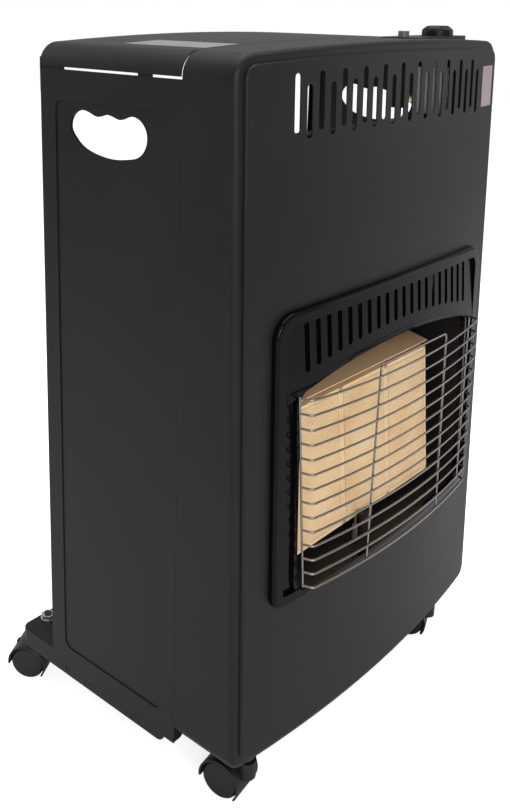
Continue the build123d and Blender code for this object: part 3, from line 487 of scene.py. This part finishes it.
def made_by(name, tree, sizes, start=None):
    """The plain mesh object that a tree makes with these sizes."""
    maker = bpy.data.objects.new(name + "_maker", start or bpy.data.meshes.new(name + "_start"))
    bpy.context.scene.collection.objects.link(maker)
    modifier = maker.modifiers.new("shape", "NODES")
    modifier.node_group = tree
    for item in tree.interface.items_tree:
        if item.in_out == "INPUT" and item.name in sizes:
            modifier[item.identifier] = sizes[item.name]
    graph = bpy.context.evaluated_depsgraph_get()
    mesh = bpy.data.meshes.new_from_object(maker.evaluated_get(graph))
    bpy.data.objects.remove(maker)
    piece = bpy.data.objects.new(name, mesh)
    bpy.context.scene.collection.objects.link(piece)
    print(name, "has", len(mesh.vertices), "vertices")
    return piece


# %% [markdown]
# ### Ceramic plaques
#
# A burner plaque is a pale block of porous ceramic with a honeycomb of small holes,
# through which the gas passes before it burns on the face. From a metre away the
# holes are a fine texture, and close up they have depth, so they are real
# geometry: one six-sided cell with a sunk hole, repeated on staggered rows inside a
# plain border. The ceramic is cream, warmer where flames have licked it.

# %% Plaque ceramic
ceramic, tree, shader = new_tree("plaque_ceramic")
coords = object_coords(tree)
stain = ramp(tree, noise(tree, coords, 28.0, 4.0), [
    (0.3, (0.90, 0.62, 0.34)), (0.55, (0.96, 0.72, 0.43)), (0.75, (0.98, 0.77, 0.48)),
])
tree.links.new(stain, shader.inputs["Base Color"])
tree.links.new(span(tree, noise(tree, coords, 200.0), 0.82, 0.95), shader.inputs["Roughness"])
rise(tree, shader, noise(tree, coords, 3000.0, 3.0), 0.4, 0.0001)
shader.inputs["Specular IOR Level"].default_value = 0.2

# %% Plaques
PLAQUE_LEAN_DEG = 5.06
plaque_sizes = {
    "Width": 0.078, "Height": 0.136, "Thickness": 0.013, "Border": 0.0032,
    "Columns": 27, "Rows": 57, "Pitch": 0.0026, "Hole": 0.6, "Depth": 0.0012,
    "Spacing": 0.0786, "Turn": (math.radians(90 - PLAQUE_LEAN_DEG), 0.0, 0.0),
    "Place": (0.0, -0.1342, 0.230),
}
tree, size = new_shape("perforated_plaque", plaque_sizes)
row_step = calc(tree, "MULTIPLY", size["Pitch"], math.sqrt(0.75))
grid = part_of(tree, "GeometryNodeMeshGrid", {
    "Size X": calc(tree, "MULTIPLY", calc(tree, "SUBTRACT", size["Columns"], 1.0), size["Pitch"]),
    "Size Y": calc(tree, "MULTIPLY", calc(tree, "SUBTRACT", size["Rows"], 1.0), row_step),
    "Vertices X": size["Columns"], "Vertices Y": size["Rows"],
})
position = tree.nodes.new("GeometryNodeInputPosition").outputs[0]
place = part_of(tree, "ShaderNodeSeparateXYZ", {0: position})
row = calc(tree, "ROUND", calc(tree, "DIVIDE", place.outputs["Y"], row_step))
odd = calc(tree, "FLOORED_MODULO", row, 2.0)
half_pitch = calc(tree, "MULTIPLY", size["Pitch"], 0.5)
stagger = calc(tree, "MULTIPLY", calc(tree, "SUBTRACT", odd, 0.5), half_pitch)
staggered = part_of(tree, "GeometryNodeSetPosition", {
    "Geometry": grid.outputs["Mesh"], "Offset": vector(tree, stagger),
})
cell = part_of(tree, "GeometryNodeMeshCircle", {
    "Vertices": 6, "Radius": calc(tree, "DIVIDE", size["Pitch"], math.sqrt(3)),
}, fill_type="NGON")
rim = part_of(tree, "GeometryNodeExtrudeMesh", {"Mesh": cell.outputs[0], "Offset Scale": 0.0})
mouth = part_of(tree, "GeometryNodeScaleElements", {
    "Geometry": rim.outputs["Mesh"], "Selection": rim.outputs["Top"], "Scale": size["Hole"],
})
sunk = part_of(tree, "GeometryNodeExtrudeMesh", {
    "Mesh": mouth.outputs[0], "Selection": rim.outputs["Top"],
    "Offset Scale": calc(tree, "MULTIPLY", size["Depth"], -1.0),
})
cells = part_of(tree, "GeometryNodeInstanceOnPoints", {
    "Points": staggered.outputs[0], "Instance": sunk.outputs["Mesh"],
    "Rotation": (0.0, 0.0, math.radians(30)),
})
slab_thickness = calc(tree, "SUBTRACT", size["Thickness"], size["Depth"])
slab_size = vector(tree, size["Width"], size["Height"], slab_thickness)
slab = part_of(tree, "GeometryNodeMeshCube", {"Size": slab_size})
slab_z = calc(tree, "MULTIPLY", calc(tree, "ADD", size["Thickness"], size["Depth"]), -0.5)
parts = [
    cells.outputs[0],
    part_of(tree, "GeometryNodeTransform", {
        "Geometry": slab.outputs[0], "Translation": vector(tree, 0.0, 0.0, slab_z),
    }).outputs[0],
]
border_z = calc(tree, "MULTIPLY", size["Depth"], -0.5)
for side in (-1.0, 1.0):
    for along, across in (("Width", "Height"), ("Height", "Width")):
        reach = calc(tree, "SUBTRACT", size[across], size["Border"])
        shift = calc(tree, "MULTIPLY", reach, side * 0.5)
        lengths = (size["Border"], size[along]) if across == "Width" else (size[along], size["Border"])
        bar = part_of(tree, "GeometryNodeMeshCube", {"Size": vector(tree, *lengths, size["Depth"])})
        spot = (shift, 0.0) if across == "Width" else (0.0, shift)
        parts.append(part_of(tree, "GeometryNodeTransform", {
            "Geometry": bar.outputs[0], "Translation": vector(tree, *spot, border_z),
        }).outputs[0])
first_x = calc(tree, "MULTIPLY", size["Spacing"], -1.0)
middle_up = calc(tree, "MULTIPLY", size["Height"], 0.5)
line = part_of(tree, "GeometryNodeMeshLine", {
    "Count": 3, "Start Location": vector(tree, first_x, middle_up),
    "Offset": vector(tree, size["Spacing"]),
})
row_of_three = part_of(tree, "GeometryNodeInstanceOnPoints", {
    "Points": line.outputs[0], "Instance": joined(tree, *parts),
})
standing = part_of(tree, "GeometryNodeTransform", {
    "Geometry": row_of_three.outputs[0], "Rotation": size["Turn"], "Translation": size["Place"],
})
end_shape(tree, standing.outputs[0], ceramic)
plaques = made_by("plaques", tree, plaque_sizes)
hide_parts("ceramic_plaque_left", "ceramic_plaque_middle", "ceramic_plaque_right")
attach(plaques, "cabinet")


# %% [markdown]
# ### Wire guard
#
# The guard is a ladder of plated wires, welded to an upright wire at each side and
# to a loop in the middle, and bowed like the front. All wires obey one rule, so the
# tree lays their points out by number: a wire's place up the guard gives its
# height, width and bow, and a point's place along it gives how far round the bow it
# is. The two end points turn back to the uprights, and a fillet rounds the bends.

# %% Plated wire
plated_wire = metal("plated_wire", (0.32, 0.295, 0.27), sheen=0.24, mark=0.25)

# %% Guard
WIRE_R = 0.001
GUARD_Z = 0.305  # the height at which the widths and depths below hold
GUARD_LOW, GUARD_HIGH = 0.2212, 0.3986
GUARD_HALF, GUARD_TAPER = 0.1408, 0.0518
BEND_Y, BEND_LEAN = -0.1659, 0.0224
BOW, BOW_GAIN = 0.0128, 0.016
POST_OUT = 0.0028
POST_Y, POST_LEAN = -0.15596, 0.0327
LOOP_FOOT_X, LOOP_TOP_X = 0.064, 0.058
LOOP_TOP_Z = 0.407
LOOP_BEHIND = 0.0017  # how far the loop's wire lies behind the bowed wires


def bow_y(x, z):
    """Depth of the guard's bowed front at x and z."""
    half = GUARD_HALF + GUARD_TAPER * (z - GUARD_Z)
    sag = BOW + BOW_GAIN * (z - GUARD_Z)
    return BEND_Y + BEND_LEAN * (z - GUARD_Z) - sag * (1 - (x / half)**2)


def upright(z):
    """A point of the right-hand upright wire."""
    above = z - GUARD_Z
    return (GUARD_HALF + POST_OUT + GUARD_TAPER * above, POST_Y + POST_LEAN * above, z)


def on_loop(x, z):
    """A corner of the middle loop."""
    return (x, bow_y(x, z) + LOOP_BEHIND, z)


guard_sizes = {
    "Wires": 14, "Points": 19, "Bottom": 0.2225, "Pitch": 0.013446, "Middle": GUARD_Z,
    "Half Width": GUARD_HALF, "Taper": GUARD_TAPER, "Bend": BEND_Y, "Lean": BEND_LEAN,
    "Bow": BOW, "Bow Gain": BOW_GAIN, "End Out": POST_OUT, "End": POST_Y, "End Lean": POST_LEAN,
    "Fillet": 0.0045, "Wire": WIRE_R,
    "Upright Foot": upright(GUARD_LOW), "Upright Head": upright(GUARD_HIGH),
    "Loop Foot": on_loop(LOOP_FOOT_X, GUARD_LOW), "Loop Top": on_loop(LOOP_TOP_X, LOOP_TOP_Z),
}
tree, size = new_shape("ladder_guard", guard_sizes)
wire_start = part_of(tree, "GeometryNodeMeshLine", {"Count": size["Points"]})
wires_up = part_of(tree, "GeometryNodeMeshLine", {"Count": size["Wires"]})
ladder = part_of(tree, "GeometryNodeInstanceOnPoints", {
    "Points": wires_up.outputs[0], "Instance": wire_start.outputs[0],
})
ladder = part_of(tree, "GeometryNodeRealizeInstances", {"Geometry": ladder.outputs[0]})
number = tree.nodes.new("GeometryNodeInputIndex").outputs[0]
step = calc(tree, "FLOORED_MODULO", number, size["Points"])
level = calc(tree, "FLOOR", calc(tree, "DIVIDE", calc(tree, "ADD", number, 0.5), size["Points"]))
height = calc(tree, "ADD", size["Bottom"], calc(tree, "MULTIPLY", size["Pitch"], level))
rise_by = calc(tree, "SUBTRACT", height, size["Middle"])
last = calc(tree, "SUBTRACT", size["Points"], 1.0)
round_bow = calc(tree, "DIVIDE", calc(tree, "SUBTRACT", step, 1.0), calc(tree, "SUBTRACT", last, 2.0))
round_bow = calc(tree, "SUBTRACT", calc(tree, "MULTIPLY", round_bow, 2.0), 1.0)
round_bow = calc(tree, "MINIMUM", calc(tree, "MAXIMUM", round_bow, -1.0), 1.0)
from_middle = calc(tree, "ABSOLUTE", calc(tree, "SUBTRACT", step, calc(tree, "MULTIPLY", last, 0.5)))
before_end = calc(tree, "SUBTRACT", calc(tree, "MULTIPLY", last, 0.5), 0.5)
is_end = calc(tree, "GREATER_THAN", from_middle, before_end)


def leaning(base, gain):
    """A size that grows by gain for each metre up."""
    return calc(tree, "ADD", size[base], calc(tree, "MULTIPLY", size[gain], rise_by))


half = leaning("Half Width", "Taper")
bend = leaning("Bend", "Lean")
bow = leaning("Bow", "Bow Gain")
wire_x = calc(tree, "ADD", half, calc(tree, "MULTIPLY", is_end, size["End Out"]))
wire_x = calc(tree, "MULTIPLY", round_bow, wire_x)
outwards_squared = calc(tree, "POWER", calc(tree, "ABSOLUTE", round_bow), 2.0)
bulge = calc(tree, "MULTIPLY", bow, calc(tree, "SUBTRACT", 1.0, outwards_squared))
back_by = calc(tree, "MULTIPLY", is_end, calc(tree, "SUBTRACT", leaning("End", "End Lean"), bend))
wire_y = calc(tree, "ADD", calc(tree, "SUBTRACT", bend, bulge), back_by)
laid = part_of(tree, "GeometryNodeSetPosition", {
    "Geometry": ladder.outputs[0], "Position": vector(tree, wire_x, wire_y, height),
})
loop_start = part_of(tree, "GeometryNodeMeshLine", {"Count": 4})
is_top = calc(tree, "LESS_THAN", calc(tree, "ABSOLUTE", calc(tree, "SUBTRACT", number, 1.5)), 1.0)
side = calc(tree, "SIGN", calc(tree, "SUBTRACT", number, 1.5))
climb = part_of(tree, "ShaderNodeVectorMath", {
    0: size["Loop Top"], 1: size["Loop Foot"],
}, operation="SUBTRACT")
climb = part_of(tree, "ShaderNodeVectorMath", {0: climb.outputs[0], "Scale": is_top}, operation="SCALE")
corner_at = part_of(tree, "ShaderNodeVectorMath", {
    0: size["Loop Foot"], 1: climb.outputs[0],
}, operation="ADD")
corner_at = part_of(tree, "ShaderNodeVectorMath", {
    0: corner_at.outputs[0], 1: vector(tree, side, 1.0, 1.0),
}, operation="MULTIPLY")
loop = part_of(tree, "GeometryNodeSetPosition", {
    "Geometry": loop_start.outputs[0], "Position": corner_at.outputs[0],
})
bent = part_of(tree, "GeometryNodeMeshToCurve", {"Mesh": joined(tree, laid.outputs[0], loop.outputs[0])})
bent = part_of(tree, "GeometryNodeFilletCurve", {
    "Curve": bent.outputs[0], "Radius": size["Fillet"], "Count": 4, "Limit Radius": True,
}, mode="POLY")
post = part_of(tree, "GeometryNodeCurvePrimitiveLine", {
    "Start": size["Upright Foot"], "End": size["Upright Head"],
})
other_post = part_of(tree, "GeometryNodeTransform", {
    "Geometry": post.outputs[0], "Scale": (-1.0, 1.0, 1.0),
})
profile = part_of(tree, "GeometryNodeCurvePrimitiveCircle", {"Resolution": 12, "Radius": size["Wire"]})
rods = part_of(tree, "GeometryNodeCurveToMesh", {
    "Curve": joined(tree, bent.outputs[0], post.outputs[0], other_post.outputs[0]),
    "Profile Curve": profile.outputs[0], "Fill Caps": True,
})
smooth = part_of(tree, "GeometryNodeSetShadeSmooth", {"Geometry": rods.outputs[0]})
end_shape(tree, smooth.outputs[0], plated_wire)
guard = made_by("guard", tree, guard_sizes)
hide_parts("wire_guard")
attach(guard, "cabinet")

# %% [markdown]
# ### Screws
#
# Small pan-head screws hold the tray and the cover. A head is a flattened dome with
# a cross recess. The tree reads where each screw sits and which way it points from
# the points it is given, so one tree serves every screw on the cabinet.

# %% Screws
screw_sizes = {"Radius": 0.0032, "Height": 0.0016, "Slot": 0.0008}
tree, size = new_shape("pan_head_screws", screw_sizes)
dome = part_of(tree, "GeometryNodeMeshUVSphere", {"Segments": 24, "Rings": 16, "Radius": 1.0})
head = part_of(tree, "GeometryNodeTransform", {
    "Geometry": dome.outputs[0], "Scale": vector(tree, size["Radius"], size["Radius"], size["Height"]),
})
arm = calc(tree, "MULTIPLY", size["Radius"], 1.15)
buried = part_of(tree, "GeometryNodeMeshCube", {"Size": vector(tree, 0.02, 0.02, size["Height"])})
buried_z = calc(tree, "MULTIPLY", size["Height"], -0.5)
buried = part_of(tree, "GeometryNodeTransform", {
    "Geometry": buried.outputs[0], "Translation": vector(tree, 0.0, 0.0, buried_z),
})
cutters = [buried.outputs[0]]
for lengths in ((arm, size["Slot"]), (size["Slot"], arm)):
    bar = part_of(tree, "GeometryNodeMeshCube", {"Size": vector(tree, *lengths, size["Height"])})
    cutters.append(part_of(tree, "GeometryNodeTransform", {
        "Geometry": bar.outputs[0], "Translation": vector(tree, 0.0, 0.0, size["Height"]),
    }).outputs[0])
cut = part_of(tree, "GeometryNodeMeshBoolean", {"Mesh 1": head.outputs[0]}, operation="DIFFERENCE")
for cutter in cutters:
    tree.links.new(cutter, cut.inputs["Mesh 2"])
outwards = part_of(
    tree, "GeometryNodeInputNamedAttribute", {"Name": "outwards"}, data_type="FLOAT_VECTOR",
)
turned = part_of(tree, "FunctionNodeAlignRotationToVector", {"Vector": outwards.outputs[0]}, axis="Z")
heads = part_of(tree, "GeometryNodeInstanceOnPoints", {
    "Points": size["Geometry"], "Instance": cut.outputs[0], "Rotation": turned.outputs[0],
})
end_shape(tree, heads.outputs[0], blackened_steel)


def screws(name, node, spots):
    """Screw heads at (place, direction) spots, in place of a CAD node."""
    start = bpy.data.meshes.new(name + "_spots")
    start.from_pydata([place for place, _ in spots], [], [])
    attribute = start.attributes.new("outwards", "FLOAT_VECTOR", "POINT")
    for entry, (_, direction) in zip(attribute.data, spots):
        entry.vector = direction
    piece = made_by(name, tree, screw_sizes, start)
    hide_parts(node)
    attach(piece, "cabinet")


TRAY_SIDE_X, TRAY_SCREW_Z = 0.209, 0.0498
TRAY_SCREW_Y = (0.0383, 0.0463, 0.0753)
COVER_SCREW_X, COVER_REAR_Y = 0.204, 0.0963
COVER_SCREW_Z = (0.641, 0.656)
screws("tray_screws", "panel_screws", [
    ((side * TRAY_SIDE_X, y, TRAY_SCREW_Z), (side, 0, 0)) for side in (-1, 1) for y in TRAY_SCREW_Y
])
screws("rear_screws", "cover_screws", [
    ((side * COVER_SCREW_X, COVER_REAR_Y, z), (0, 1, 0)) for side in (-1, 1) for z in COVER_SCREW_Z
])

# %% [markdown]
# ### Springs
#
# The springs under the knob and the igniter button are copies of their CAD coils,
# with doubled points merged, in the raw steel finish.


def pushed_spring(name, node):
    """A copy of a CAD node's coil, in place of the node."""
    coil = bmesh.new()
    coil.from_mesh(nodes[node].data)
    bmesh.ops.remove_doubles(coil, verts=coil.verts, dist=1e-6)
    mesh = bpy.data.meshes.new(name)
    coil.to_mesh(mesh)
    coil.free()
    piece = bpy.data.objects.new(name, mesh)
    bpy.context.scene.collection.objects.link(piece)
    dress(raw_steel, piece)
    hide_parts(node)
    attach(piece, "cabinet")
    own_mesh(piece)


pushed_spring("knob_return_spring", "knob_spring")
pushed_spring("igniter_return_spring", "igniter_spring")
